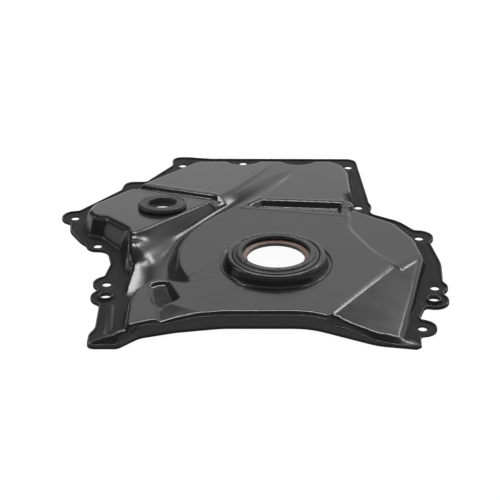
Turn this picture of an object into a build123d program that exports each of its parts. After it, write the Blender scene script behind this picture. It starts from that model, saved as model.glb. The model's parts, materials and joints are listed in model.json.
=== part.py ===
from build123d import *
import math
import os

os.makedirs("parts", exist_ok=True)

# Timing cover of an engine: one deep-drawn sheet with a pressed-in crank seal and a rubber bush.
# Sizes are in millimetres. The origin is where the crank axis crosses the sealing plane, with
# +X to the right, +Y towards the straight back edge and +Z out of the engine.

# Drawn sheet
SHEET = 1.5
RIM_HEIGHT = 3.2
WALL_DRAFT = 18.0
EAR_BLEND = 3.0
CEILING = 34.0

# Crest of the upright wall along the front edge, as x and height
FRONT_CREST = [(-145, 8.0), (-120, 12.2), (88, 12.2), (93, 7.0), (112, 6.0)]
FRONT_WALL_Y = -85.0
FRONT_WALL_REACH = 40.0

# Flange outline, as corner x, corner y and corner radius, from the front left foot round
FLANGE_CORNERS = [
    (-141, -111, 5),
    (-118, -111, 0),
    (-103, -96, 16),
    (-76, -87.5, 40),
    (-42, -81.5, 60),
    (24, -81.5, 50),
    (74, -107, 40),
    (105.5, -112.5, 0),
    (108, -70, 8),
    (114, -52, 0),
    (131, -30, 0),
    (134.5, 18, 60),
    (128, 64, 25),
    (107, 95, 26),
    (84, 110, 6),
    (83.5, 137, 30),
    (77.5, 225.5, 9),
    (-58, 226.5, 40),
    (-78, 230, 20),
    (-93.5, 230, 8),
    (-92, 212, 8),
    (-111, 181, 0),
    (-114, 175.5, 0),
    (-133, 175.5, 9),
    (-135.5, 158, 6),
    (-168, 117, 12),
    (-174, 96, 6),
    (-173, 78, 22),
    (-162, 58, 20),
    (-149, 43, 7),
    (-138, 42, 9),
    (-133.5, 18, 16),
    (-137, -4, 0),
    (-137, -84, 10),
    (-141, -94, 8),
]

# Bolt holes and the ears round them: x, y and ear radius, 0 where the outline has no ear
BOLT_HOLE_R = 3.5
BOLTS = {
    "back_left": (-83, 214, 0),
    "back_inner_left": (-27, 219, 0),
    "back_inner_right": (23.5, 219, 0),
    "back_right": (70, 210, 0),
    "shoulder_left": (-125, 161, 0),
    "lobe_upper": (-171, 104, 11.5),
    "lobe_lower": (-147, 52, 9.5),
    "side_left": (-134, -14, 11),
    "neck_right": (74, 125, 11.5),
    "shoulder_right": (121, 66, 12),
    "side_right": (125, -20, 10.5),
    "corner_right": (109, -83, 11),
}

# Drawn collars that take the two locating dowels
DOWEL_R = 4.5
DOWEL_COLLAR_HEIGHT = 4.2
DOWEL_EAR_R = 12.0
DOWELS = {"dowel_left": (-133, -36), "dowel_right": (122, -41)}

# Raised body where its walls meet the flange. Its upper left side is drawn inside the chain bay.
BODY_CORNERS = [
    (-116.5, -125, 0),
    (88, -125, 0),
    (95, -93, 60),
    (107, -48, 60),
    (121.5, 14, 8),
    (117.5, 47, 40),
    (103, 79, 20),
    (84, 94.5, 14),
    (71.5, 106, 0),
    (70, 190, 0),
    (65, 208, 8),
    (55, 218, 8),
    (0, 218, 0),
    (-110, 70, 0),
    (-123.5, 40, 0),
    (-117.5, -3, 20),
    (-120, -25, 0),
    (-116, -58, 20),
]
BODY_TOP = 13.5

# The chain bay at the upper left stands higher, and slopes down to the back edge
BAY_CORNERS = [
    (8, 218, 0),
    (-70, 218, 9),
    (-159, 102, 12),
    (-162.5, 84, 10),
    (-156, 68, 9),
    (-144, 63.5, 0),
    (-122.5, 33, 0),
    (-95, 10, 0),
    (-60, 70, 0),
]
BAY_TOP = 24.6
BACK_EDGE_Y = 216.0
BACK_EDGE_HEIGHT = 5.0
BAY_SLOPE = 0.104
BACK_SLOPE = 0.08

# Facet at the front right, hinged on a straight crease
CREASE_START = (38.0, -89.0)
CREASE_END = (93.0, -7.0)
FACET_SLOPE = 0.17

# Lower shoulder on the right, behind a curved step
SHOULDER_SLOPE = 0.035
SHOULDER_STEP_ANGLE = 50.0
SHOULDER_CORNERS = [
    (66, 98, 0),
    (64, 62, 40),
    (79, 22, 60),
    (104, -14, 0),
    (150, -14, 0),
    (150, 150, 0),
    (85, 118, 0),
]

# Scallops that clear the bolts of the back edge and the neck: x, y and radius
SCALLOPS = [(-27, 224.8, 15.5), (23.5, 224.8, 15.5), (74, 125, 9.5)]

# Chute between the chain bay and the crank field. Each section runs in plan from the rim of the
# bay to the rim of the crank field, with its floor as pairs of share of the width and height.
CHUTE_SECTIONS = [
    ((14, 214), (32, 200), 7.2, 7.2, [(0.5, 7.0)]),
    ((-30, 147), (-9, 131), 12.4, 12.0, [(0.42, 8.2)]),
    ((-69, 89), (-54, 79.5), 18.4, 13.7, [(0.25, 13.0), (0.6, 9.0)]),
    ((-95, 56), (-72, 49), 21.8, 13.7, [(0.25, 15.0), (0.6, 8.8)]),
    ((-117, 30), (-77, 20), 24.5, 13.7, [(0.3, 12.5), (0.68, 6.5)]),
    ((-127, -2), (-74, -6), 12.0, 13.7, [(0.2, 7.6), (0.64, 5.8)]),
    ((-129, -30), (-66, -30), 6.0, 13.7, [(0.12, 2.4), (0.6, 4.4)]),
    ((-131, -126), (-62, -126), 3.0, 13.7, [(0.12, 1.4), (0.6, 1.4)]),
]

# Tongue at the front left, with a dished pocket in it
TONGUE_CORNERS = [
    (-50, -32, 0),
    (-74, -28, 10),
    (-84, -19.5, 10),
    (-99, -19.5, 14),
    (-112, -38, 16),
    (-116.5, -62, 20),
    (-116.5, -125, 0),
    (-50, -125, 0),
]
TONGUE_HINGE_X = -60.0
TONGUE_SLOPE = 0.028
POCKET_CORNERS = [(-86, -71), (-97, -58), (-98.5, -31), (-85.5, -31), (-72.5, -57)]
POCKET_DEPTH = 6.0
POCKET_DRAFT = 35.0
POCKET_CORNER_CUT = 3.5

# Long stiffening beads, pressed inwards
LEFT_BEAD = [(-122, 155), (-49, 124), (-42, 112), (-51, 104), (-126, 139)]
LEFT_BEAD_DEPTH = 4.0
RIGHT_BEAD = [(-24, 103), (-10, 118), (60, 111), (60, 89)]
RIGHT_BEAD_DEPTH = 6.0
BEAD_DRAFT = 42.0
BEAD_CORNER_CUT = 4.0

# Crank boss and its pressed-in seal
BOSS_TOP = 21.5
BOSS_BASE_R = 41.0
BOSS_RIM_R = 39.8
BOSS_RIM_ROLL = 3.0
COLLAR_LENGTH = 10.0
SEAL_OUTER_R = 34.5
SEAL_DEPTH = 8.5
SEAL_CASE = 2.5
SEAL_FACE_RISE = 2.2
SEAL_FACE_WIDTH = 7.7
LIP_TOP = 20.2
LIP_BORE_R = 22.8
LIP_LENGTH = 4.2

# Rubber bush in the chain bay
BUSH_CENTRE = (-95.0, 92.0)
BUSH_OUTER_R = 20.5
BUSH_BORE_R = 11.5
BUSH_RISE = 4.5
BUSH_NECK_R = 15.0
BUSH_TAIL = 2.5

LIP_SEAT_R = SEAL_OUTER_R - SEAL_CASE
SEAL_WINDOW_R = SEAL_OUTER_R - SEAL_FACE_WIDTH
WALL_RUN = math.tan(math.radians(WALL_DRAFT))
WALL_SKIN = SHEET / math.cos(math.radians(WALL_DRAFT))


def rounded_loop(corners):
    """Draw a closed outline whose corners are given as x, y and radius."""
    points = [(x, y) for x, y, _ in corners]
    FilletPolyline(*points, radius=[r for _, _, r in corners], close=True)


def falling_plane(slope, y_hinge, height):
    """A plane that falls towards the back by its slope, and has a given height at y_hinge."""
    return Plane(origin=(0, 0, height + slope * y_hinge), x_dir=(1, 0, 0), z_dir=(0, slope, 1))


BAY_PLANE = falling_plane(BAY_SLOPE, BACK_EDGE_Y, BACK_EDGE_HEIGHT)
BACK_PLANE = falling_plane(BACK_SLOPE, BACK_EDGE_Y, BACK_EDGE_HEIGHT)
SHOULDER_PLANE = falling_plane(SHOULDER_SLOPE, CREASE_END[1], BODY_TOP)
CREASE_LENGTH = math.dist(CREASE_START, CREASE_END)
CREASE_X = (CREASE_END[0] - CREASE_START[0]) / CREASE_LENGTH
CREASE_Y = (CREASE_END[1] - CREASE_START[1]) / CREASE_LENGTH
TONGUE_PLANE = Plane(
    origin=(0, 0, BODY_TOP - TONGUE_SLOPE * TONGUE_HINGE_X),
    x_dir=(1, 0, TONGUE_SLOPE),
    z_dir=(-TONGUE_SLOPE, 0, 1),
)
FACET_PLANE = Plane(
    origin=(*CREASE_START, BODY_TOP),
    x_dir=(CREASE_X, CREASE_Y, 0),
    z_dir=(FACET_SLOPE * CREASE_Y, -FACET_SLOPE * CREASE_X, 1),
)


RECESSES = [
    (POCKET_CORNERS, TONGUE_PLANE, POCKET_DEPTH, POCKET_DRAFT, POCKET_CORNER_CUT),
    (LEFT_BEAD, BAY_PLANE, LEFT_BEAD_DEPTH, BEAD_DRAFT, BEAD_CORNER_CUT),
    (RIGHT_BEAD, BACK_PLANE, RIGHT_BEAD_DEPTH, BEAD_DRAFT, BEAD_CORNER_CUT),
]
RECESS_START = 1.0
BUSH_SEAT = Plane(
    origin=(*BUSH_CENTRE, BACK_EDGE_HEIGHT + BAY_SLOPE * (BACK_EDGE_Y - BUSH_CENTRE[1])),
    x_dir=(1, 0, 0),
    z_dir=(0, BAY_SLOPE, 1),
)


def flange_prism(inset, base, top):
    """The flange outline with its ears, inset all round, between two heights."""
    with BuildPart() as prism:
        with BuildSketch(Plane.XY.offset(base)):
            with BuildLine():
                rounded_loop(FLANGE_CORNERS)
            make_face()
            for x, y, ear in BOLTS.values():
                if ear:
                    with Locations((x, y)):
                        Circle(ear)
            with Locations(*DOWELS.values()):
                Circle(DOWEL_EAR_R)
            offset(amount=EAR_BLEND)
            offset(amount=-EAR_BLEND - inset)
        extrude(amount=top - base)
    return prism.part


def clear_bolts():
    """Cut the scallops for the bolts out of the sketch that is being drawn."""
    for x, y, radius in SCALLOPS:
        with Locations((x, y)):
            Circle(radius, mode=Mode.SUBTRACT)


def body_block(inset):
    """The low part of the body, inset by the sheet thickness for its inner side."""
    with BuildPart() as block:
        with BuildSketch():
            with BuildLine():
                rounded_loop(BODY_CORNERS)
            make_face()
            clear_bolts()
            offset(amount=SHEET * WALL_RUN - inset * WALL_SKIN / SHEET)
        extrude(amount=BODY_TOP - inset, taper=WALL_DRAFT)
        split(bisect_by=BACK_PLANE.offset(-inset), keep=Keep.BOTTOM)
        split(bisect_by=FACET_PLANE.offset(-inset), keep=Keep.BOTTOM)
    return block.part


def bay_block(inset):
    """The high chain bay at the upper left."""
    with BuildPart() as block:
        with BuildSketch():
            with BuildLine():
                rounded_loop(BAY_CORNERS)
            make_face()
            clear_bolts()
            offset(amount=SHEET * WALL_RUN - inset * WALL_SKIN / SHEET)
        extrude(amount=BAY_TOP, taper=WALL_DRAFT)
        split(bisect_by=BAY_PLANE.offset(-inset), keep=Keep.BOTTOM)
    return block.part


def chute_section(bay_rim, crank_rim, bay_height, crank_height, floor, inset):
    """One upright section across the chute, open at the top."""
    width = math.dist(bay_rim, crank_rim)
    along = ((crank_rim[0] - bay_rim[0]) / width, (crank_rim[1] - bay_rim[1]) / width)
    plane = Plane(origin=(*bay_rim, 0), x_dir=(*along, 0), z_dir=(along[1], -along[0], 0))
    low = [(share * width, height - inset) for share, height in floor]
    with BuildSketch(plane) as section:
        with BuildLine():
            Polyline(
                (-inset, CEILING),
                (-inset / 2, bay_height - inset / 2),
                *low,
                (width + inset / 2, crank_height - inset / 2),
                (width + inset, CEILING),
                close=True,
            )
        make_face()
    return section.sketch.face()


def chute_cutter(inset):
    """The space over the chute, lowered and widened by the sheet for the inner side."""
    sections = [chute_section(*values, inset) for values in CHUTE_SECTIONS]
    with BuildPart() as cutter:
        for before, after in zip(sections, sections[1:]):
            loft([before, after], ruled=True)
    return cutter.part


def tongue_block(inset):
    """The tongue at the front left."""
    with BuildPart() as block:
        with BuildSketch():
            with BuildLine():
                rounded_loop(TONGUE_CORNERS)
            make_face()
            offset(amount=SHEET * WALL_RUN - inset * WALL_SKIN / SHEET)
        extrude(amount=BODY_TOP - inset, taper=WALL_DRAFT)
        split(bisect_by=TONGUE_PLANE.offset(-inset), keep=Keep.BOTTOM)
    return block.part


def turned_over(plane):
    """The plane with its other side up, on which a sketch's y runs the other way."""
    return Plane(origin=plane.origin, x_dir=plane.x_dir, z_dir=-plane.z_dir)


def shoulder_cutter(inset):
    """The space over the right shoulder, drawn upside down, with its step along the crank field."""
    run = math.tan(math.radians(SHOULDER_STEP_ANGLE))
    skin = inset * math.tan(math.radians(45 - SHOULDER_STEP_ANGLE / 2))
    with BuildPart() as cutter:
        with BuildSketch():
            with BuildLine():
                rounded_loop([(x, -y, radius) for x, y, radius in SHOULDER_CORNERS])
            make_face()
            offset(amount=skin + BODY_TOP * run)
        extrude(amount=BODY_TOP, taper=SHOULDER_STEP_ANGLE)
    return turned_over(SHOULDER_PLANE.offset(BODY_TOP - inset)).location * cutter.part


def recess(corners, plane, depth, draft, corner_cut, inset):
    """A pressed recess that narrows downwards, drawn upside down and turned over."""
    run = math.tan(math.radians(draft))
    skin = inset / math.cos(math.radians(draft))
    with BuildPart() as cutter:
        with BuildSketch():
            with BuildLine():
                Polyline(*[(x, -y) for x, y in corners], close=True)
            outline = make_face()
            chamfer(outline.vertices(), length=corner_cut)
            offset(amount=skin + RECESS_START * run, kind=Kind.INTERSECTION)
        extrude(amount=depth + inset + RECESS_START, taper=draft)
    return turned_over(plane.offset(RECESS_START)).location * cutter.part


def boss_block(inset):
    """The crank boss, with its rim turned over."""
    top = BOSS_TOP - inset
    rim = BOSS_RIM_R - inset
    roll = BOSS_RIM_ROLL - inset
    with BuildPart() as block:
        with BuildSketch(Plane.XZ):
            with BuildLine():
                Polyline(
                    (0, 0),
                    (BOSS_BASE_R - inset, 0),
                    (BOSS_BASE_R - inset, BODY_TOP - inset),
                    (rim, top - roll),
                    (rim - roll, top),
                    (0, top),
                    close=True,
                )
            make_face()
        revolve(axis=Axis.Z)
    return block.part


def raised_form(inset):
    """Everything that is drawn up out of the flange, as a solid."""
    with BuildPart() as form:
        add(body_block(inset))
        add(shoulder_cutter(inset), mode=Mode.SUBTRACT)
        add(bay_block(inset))
        add(chute_cutter(inset), mode=Mode.SUBTRACT)
        add(tongue_block(inset))
        for corners, plane, depth, draft, corner_cut in RECESSES:
            add(recess(corners, plane, depth, draft, corner_cut, inset), mode=Mode.SUBTRACT)
        add(boss_block(inset))
        add(flange_prism(inset, 0, CEILING), mode=Mode.INTERSECT)
    return form.part


def front_wall():
    """The upright wall along the whole front edge, with a crest that falls at both ends."""
    with BuildPart() as wall:
        with BuildSketch(Plane.XZ.offset(-FRONT_WALL_Y)):
            with BuildLine():
                Polyline((FRONT_CREST[-1][0], 0), (FRONT_CREST[0][0], 0), *FRONT_CREST, close=True)
            make_face()
        extrude(amount=FRONT_WALL_REACH)
        add(flange_prism(0, 0, CEILING), mode=Mode.INTERSECT)
        add(flange_prism(SHEET, 0, CEILING), mode=Mode.SUBTRACT)
    return wall.part


def cover_pressing():
    """The whole drawn sheet."""
    with BuildPart() as pressing:
        add(flange_prism(0, 0, RIM_HEIGHT))
        add(flange_prism(SHEET, SHEET, RIM_HEIGHT), mode=Mode.SUBTRACT)
        add(front_wall())
        add(raised_form(0))
        add(raised_form(SHEET), mode=Mode.SUBTRACT)
        with Locations((0, 0, BOSS_TOP - COLLAR_LENGTH)):
            Cylinder(
                SEAL_OUTER_R + SHEET,
                COLLAR_LENGTH - SHEET / 2,
                align=(Align.CENTER, Align.CENTER, Align.MIN),
            )
        Hole(SEAL_OUTER_R)
        with Locations(*DOWELS.values()):
            Cylinder(
                DOWEL_R + SHEET,
                DOWEL_COLLAR_HEIGHT,
                align=(Align.CENTER, Align.CENTER, Align.MIN),
            )
            Hole(DOWEL_R)
        with Locations(*[(x, y) for x, y, _ in BOLTS.values()]):
            Hole(BOLT_HOLE_R)
        with Locations(BUSH_SEAT):
            Hole(BUSH_NECK_R, depth=2 * SHEET)
    return pressing.part


def crank_seal():
    """The rubber-covered case of the crank seal, an angle in section that sits in the boss."""
    top = BOSS_TOP
    base = BOSS_TOP - SEAL_DEPTH
    with BuildPart() as seal:
        with BuildSketch(Plane.XZ):
            with BuildLine():
                Polyline(
                    (SEAL_OUTER_R, base),
                    (SEAL_OUTER_R, top),
                    (SEAL_WINDOW_R, top + SEAL_FACE_RISE),
                    (SEAL_WINDOW_R, LIP_TOP),
                    (LIP_SEAT_R, LIP_TOP),
                    (LIP_SEAT_R, base),
                    close=True,
                )
            make_face()
        revolve(axis=Axis.Z)
    return seal.part


def crank_seal_lip():
    """The moulded lip, a ring under the face of the case, with its bore round the shaft."""
    foot = LIP_TOP - LIP_LENGTH
    with BuildPart() as lip:
        with BuildSketch(Plane.XZ):
            with BuildLine():
                Polyline(
                    (LIP_SEAT_R, LIP_TOP),
                    (LIP_BORE_R, LIP_TOP),
                    (LIP_BORE_R, foot),
                    (LIP_SEAT_R, foot),
                    close=True,
                )
            make_face()
        revolve(axis=Axis.Z)
    return lip.part


def rubber_bush():
    """The rubber bush, with a collar on the sheet of the chain bay and a neck through its hole."""
    with BuildPart() as bush:
        with BuildSketch(Plane.XZ):
            with BuildLine():
                Polyline(
                    (BUSH_BORE_R, BUSH_RISE),
                    (BUSH_OUTER_R, BUSH_RISE),
                    (BUSH_OUTER_R, 0),
                    (BUSH_NECK_R, 0),
                    (BUSH_NECK_R, -SHEET - BUSH_TAIL),
                    (BUSH_BORE_R, -SHEET - BUSH_TAIL),
                    close=True,
                )
            make_face()
        revolve(axis=Axis.Z)
    return BUSH_SEAT.location * bush.part


if __name__ == "__main__":
    pieces = {
        "cover_pressing": cover_pressing(),
        "crank_seal": crank_seal(),
        "crank_seal_lip": crank_seal_lip(),
        "rubber_bush": rubber_bush(),
    }
    for label, piece in pieces.items():
        piece.label = label
        export_step(piece, f"parts/{label}.step")
        print(label, round(piece.volume, 1), len(piece.solids()), piece.is_valid)
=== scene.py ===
import json
import math

import bpy
import numpy as np
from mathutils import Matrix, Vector


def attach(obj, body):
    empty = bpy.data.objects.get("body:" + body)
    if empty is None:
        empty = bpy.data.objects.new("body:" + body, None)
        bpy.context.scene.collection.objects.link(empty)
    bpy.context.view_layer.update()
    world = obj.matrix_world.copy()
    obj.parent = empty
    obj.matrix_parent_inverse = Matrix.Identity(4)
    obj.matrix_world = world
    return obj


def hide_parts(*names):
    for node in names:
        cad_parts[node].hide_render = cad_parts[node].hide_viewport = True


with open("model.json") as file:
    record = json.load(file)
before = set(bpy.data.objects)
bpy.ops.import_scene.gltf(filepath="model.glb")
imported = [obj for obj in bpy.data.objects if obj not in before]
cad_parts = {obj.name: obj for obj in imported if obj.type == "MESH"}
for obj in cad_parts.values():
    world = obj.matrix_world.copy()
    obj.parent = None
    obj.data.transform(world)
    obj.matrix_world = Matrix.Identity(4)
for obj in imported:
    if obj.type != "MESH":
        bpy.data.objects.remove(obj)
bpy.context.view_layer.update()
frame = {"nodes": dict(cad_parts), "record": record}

# Sizes are in millimetres here, and become metres where a mesh is made.
MM = 0.001
SHEET = 1.5

# Grid of the height fields, and how many of its cells a cell of the mesh spans
CELL = 0.64
MESH_STEP = 2
GRID_X = np.arange(-187.0, 141.0, CELL)
GRID_Y = np.arange(-118.0, 234.0, CELL)
XX, YY = np.meshgrid(GRID_X, GRID_Y)
SHAPE = XX.shape
# Distances to an outline are measured up to this far from it.
REACH = 16.0
# A block of cells that is flatter than this becomes one face.
FLATNESS = 0.003
UPPER_BLUR = 0.5
LOWER_BLUR = 0.4

# The walls lean by 18 degrees. Outlines are lists of corners, each with its x, y and radius.
WALL_RUN = math.tan(math.radians(18.0))
BODY_TOP = 13.5
BODY_CORNERS = [
    (-116.5, -125, 0), (88, -125, 0), (95, -93, 60), (107, -48, 60), (121.5, 14, 8),
    (117.5, 47, 40), (103, 79, 20), (84, 94.5, 14), (71.5, 106, 6), (70, 190, 10),
    (65, 208, 8), (55, 218, 8), (0, 218, 0), (-110, 70, 0), (-123.5, 40, 0),
    (-117.5, -3, 20), (-120, -25, 8), (-116, -58, 20),
]
BAY_CORNERS = [
    (8, 218, 0), (-70, 218, 9), (-159, 102, 16), (-162.5, 84, 8), (-156, 68, 8),
    (-144, 63.5, 7), (-127, 41, 9), (-121.5, 0, 20), (-95, -10, 0), (-60, 70, 0),
]
BACK_EDGE_Y = 216.0
BACK_EDGE_HEIGHT = 5.0
BAY_SLOPE = 0.104
BACK_SLOPE = 0.08

# Scallops in the walls that leave room for a bolt: x, y and radius
SCALLOPS = [(-27, 224.8, 15.5), (23.5, 224.8, 15.5), (74, 125, 9.5)]

# The facet at the front right falls away beyond a crease, and the shoulder lies behind it.
CREASE_START = np.array([38.0, -89.0])
CREASE_END = np.array([93.0, -7.0])
FACET_SLOPE = 0.17
SHOULDER_SLOPE = 0.035
SHOULDER_RISE = 0.84
SHOULDER_CORNERS = [
    (66, 98, 0), (64, 62, 40), (79, 22, 60), (104, -14, 0), (150, -14, 0), (150, 150, 0),
    (85, 118, 0),
]

# Sections of the chute: its rim at the bay and at the crank field, the heights of both,
# and the floor between them as share of the width and height
CHUTE_SECTIONS = [
    ((14, 214), (32, 200), 7.2, 7.2, [(0.5, 7.0)]),
    ((-30, 147), (-9, 131), 12.4, 12.0, [(0.35, 9.6), (0.7, 7.6)]),
    ((-69, 89), (-54, 79.5), 18.4, 13.7, [(0.25, 14.0), (0.5, 9.6), (0.74, 8.0)]),
    ((-95, 56), (-72, 49), 21.8, 13.7, [(0.25, 15.8), (0.5, 10.0), (0.76, 7.4)]),
    ((-116, 33), (-77, 27), 24.4, 13.7, [(0.3, 17.8), (0.58, 10.6), (0.8, 6.6)]),
    ((-131, 21), (-77, 12), 23.0, 13.7, [(0.28, 20.4), (0.55, 12.0), (0.8, 6.0)]),
    ((-134, 3), (-76, -2), 17.5, 13.7, [(0.25, 14.6), (0.52, 9.0), (0.79, 5.4)]),
    ((-134, -13), (-72, -14), 11.0, 13.7, [(0.25, 8.4), (0.5, 6.4), (0.72, 5.1)]),
    ((-131, -30), (-66, -30), 4.5, 13.7, [(0.2, 3.4), (0.45, 3.8), (0.6, 4.6)]),
    ((-131, -66), (-62, -66), 3.0, 13.7, [(0.12, 1.4), (0.4, 1.4), (0.6, 1.4)]),
    ((-131, -126), (-62, -126), 3.0, 13.7, [(0.12, 1.4), (0.4, 1.4), (0.6, 1.4)]),
]
CHUTE_SHARES = 121
CHUTE_SPACING = 0.3
NO_LIMIT = 99.0

# Tongue with its pocket, and the small facet in front of the pocket
TONGUE_CORNERS = [
    (-50, -32, 0), (-74, -28, 10), (-84, -19.5, 10), (-99, -19.5, 14), (-112, -38, 16),
    (-116.5, -62, 20), (-116.5, -125, 0), (-50, -125, 0),
]
TONGUE_HINGE_X = -60.0
TONGUE_SLOPE = 0.028
POCKET_CORNERS = [
    (-87.5, -74.5, 2), (-97.5, -60, 12), (-99, -32, 7), (-85, -29, 6), (-74.5, -57, 3),
    (-86, -66.5, 1),
]
POCKET_DEPTH = 2.2
POCKET_DEEPEST = 7.0
POCKET_SLOPE = 0.12
POCKET_BACK_Y = -33.0
POCKET_SIDE = 1.5
# Slopes along x and y of the facet's plane, and its height at the origin
TONGUE_FACET = (0.1121, 0.1228, 29.97)
TONGUE_FACET_LEFT = -88.0
TONGUE_FACET_LEFT_HEIGHT = 10.0
TONGUE_FACET_LEFT_SLOPE = 0.8
TONGUE_FACET_BACK_Y = -60.0

# Long pressed beads in the sheet
LEFT_BEAD = [(-122, 155, 4), (-49, 124, 7), (-42, 112, 4), (-51, 104, 4), (-126, 139, 5)]
RIGHT_BEAD = [(-28, 101, 3), (-12, 119.5, 6), (61.5, 112.5, 5), (61.5, 84.5, 5)]
LEFT_BEAD_DEPTH = 3.4
RIGHT_BEAD_DEPTH = 5.0
BEAD_SIDE = 1.1
BEAD_ROUND_RUN = 2.8
BEAD_ROUND_RADIUS = 7.0

CREST_RADIUS = 4.4
ROOT_RADIUS = 2.8

# Front edge, and the leaning facet over it: x, height at its foot, slope and height of its crest
FRONT_CORNERS = [
    (-220, -111, 0), (-118, -111, 4), (-103, -96, 16), (-76, -87.5, 40), (-42, -81.5, 60),
    (24, -81.5, 50), (74, -107, 40), (105.5, -112.5, 0), (200, -129, 0), (200, 400, 0),
    (-220, 400, 0),
]
FRONT_FACET = [
    (-145, 1.8, 0.60, 4.0), (-137, 1.8, 0.85, 6.4), (-133, 1.8, 0.95, 8.0),
    (-127.5, 2.0, 0.90, 9.4), (-121, 2.0, 0.88, 10.6), (-116, 2.5, 1.15, 11.4),
    (-111, 3.0, 1.80, 12.0), (-101, 6.0, 2.80, 12.3), (-88, 5.5, 2.60, 10.3),
    (-76, 6.0, 2.60, 12.0), (-64, 7.0, 2.60, 13.0), (36, 7.0, 2.60, 13.2),
    (40, 5.0, 2.00, 10.0), (44, 4.0, 1.60, 9.0), (47, 4.5, 1.80, 10.6), (54, 4.5, 1.70, 11.0),
    (64, 3.6, 1.10, 9.6), (80, 2.6, 0.48, 7.2), (94, 1.9, 0.30, 4.6), (107, 1.6, 0.25, 3.0),
]
FRONT_WALL_Y = -85.0
FRONT_START_Y = -79.0
FRONT_FACING = 0.3
FRONT_REACH = 15.0
RIDGE_BACK_SLOPE = 1.7

# Rim that stands up round the flange, with its round crown and root and its foot's small chamfer
RIM_HEIGHT = 3.2
RIM_ZONE = 2.3
RIM_CROWN = 0.75
RIM_ROOT = 0.8
RIM_ROOT_SHARES = (0.6, 0.2)
RIM_CROWN_ANGLES = (0, 35, 65, 90, 115, 145, 180)
FOOT_CHAMFER = 0.3
FOOT_MIDDLE = 0.09

# Bead that runs round the flange between the rim and the wall, and fades beside holes and walls
FLANGE_NARROWEST = 0.5
FLANGE_BEAD_HEIGHT = 0.75
FLANGE_BEAD_SHARE = 0.17
FLANGE_BEAD_FROM_HOLE = (6.5, 10.0)
FLANGE_BEAD_FROM_WALL = (1.5, 4.0)

# Faint raised lines: both ends, height and half width
WRINKLES = [
    ((-64.6, -40.4), (-44.0, -29.1), 0.13, 2.6), ((-61.1, -56.2), (-33.7, -42.0), 0.17, 3.0),
    ((-54.4, -16.0), (-42.0, -7.7), 0.13, 2.4), ((-69.2, -22.6), (-56.3, -6.0), 0.22, 2.2),
    ((-47.2, -60.8), (-24.5, -48.3), 0.12, 3.0), ((-63.0, -29.0), (-50.0, -21.0), 0.16, 2.2),
    ((-57.0, -67.0), (-35.0, -60.0), 0.06, 3.0),
]
FLANGE_MARKS = [
    ((-131.0, -47.0), (-129.5, -92.0), 0.6, 1.5), ((-126.0, -50.0), (-124.0, -88.0), 0.6, 1.3),
    ((112.0, -44.0), (107.5, -66.0), 0.5, 1.4), ((107.5, -66.0), (104.5, -62.0), 0.4, 1.2),
]
FACET_EDGES = [
    ((37.5, -86.0), (91.0, -7.5), 0.85, 1.2), ((99.0, -9.0), (116.0, 11.0), 0.35, 1.1),
    ((91.0, -0.5), (99.0, -9.0), 0.3, 1.1),
]

# Raised edges of the two long beads, as chains of points
BEAD_EDGE_CHAINS = [
    [(-120.0, 156.5), (-52.0, 127.5), (-42.5, 112.5), (-51.0, 103.5), (-125.0, 138.0)],
    [(-13.0, 120.5), (62.0, 113.5), (62.0, 84.0), (-28.5, 100.5), (-13.0, 120.5)],
]
BEAD_EDGE_RISE = 0.30
BEAD_EDGE_WIDTH = 1.1

# Radii at which the sheet is cut, and the turned profiles of its holes and boss begin
HOLE_CUT_R = 4.31
COLLAR_CUT_R = 8.41
BOSS_CUT_R = 46.03
BUSH_CUT_R = 16.03
BUSH_CENTRE = np.array([-95.0, 92.0])


# Fields over the grid

def rounded(corners, step=6.0):
    """Points of a closed outline whose corners are given as x, y and radius."""
    points = []
    for k, (x, y, radius) in enumerate(corners):
        corner = np.array([x, y], float)
        before = np.array(corners[k - 1][:2], float) - corner
        after = np.array(corners[(k + 1) % len(corners)][:2], float) - corner
        before /= np.linalg.norm(before)
        after /= np.linalg.norm(after)
        if radius <= 0:
            points.append(corner)
            continue
        half = 0.5 * math.acos(np.clip(before @ after, -1, 1))
        middle = before + after
        centre = corner + middle / np.linalg.norm(middle) * radius / math.sin(half)
        first = corner + before * radius / math.tan(half) - centre
        last = corner + after * radius / math.tan(half) - centre
        start = math.atan2(first[1], first[0])
        turn = (math.atan2(last[1], last[0]) - start + math.pi) % (2 * math.pi) - math.pi
        count = max(2, math.ceil(abs(math.degrees(turn)) / step))
        for share in np.linspace(0, 1, count + 1):
            angle = start + turn * share
            points.append(centre + radius * np.array([math.cos(angle), math.sin(angle)]))
    return np.array(points)


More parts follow.
